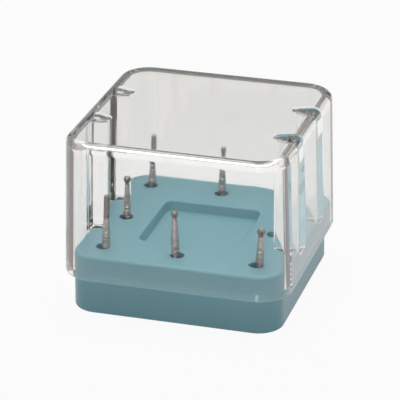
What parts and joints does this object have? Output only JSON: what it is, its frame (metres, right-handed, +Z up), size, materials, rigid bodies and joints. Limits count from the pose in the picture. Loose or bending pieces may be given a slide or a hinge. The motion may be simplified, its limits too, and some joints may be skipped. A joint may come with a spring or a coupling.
{
  "type": "dental bur block",
  "caption": "Square moulded block with sockets that holds small dental burs upright under a clear push-on cover with ridges inside its side walls.",
  "frame": {"origin": "on the ground under the middle of the block", "axes": "+Z up, the way the cover lifts off; -Y is the front; the cover's ridged walls face -X and +X"},
  "size_m": [0.045, 0.045, 0.0353],
  "materials": {
    "block": "injection moulded, fine satin surface, teal",
    "clear_cover": "clear injection moulded plastic, polished",
    "bur_steel": "ground steel shank, darker ground cutting head"
  },
  "bodies": {
    "base": {"base_block": "block", "bur_front_left": "bur_steel", "bur_left": "bur_steel", "bur_back_left": "bur_steel", "bur_back": "bur_steel", "bur_front": "bur_steel", "bur_front_right": "bur_steel"},
    "cover": {"cover": "clear_cover"}
  },
  "joints": [
    {"name": "cover_lift", "type": "slide", "parent": "base", "child": "cover", "axis": [0, 0, 1], "range_m": [0, 0.03]}
  ]
}
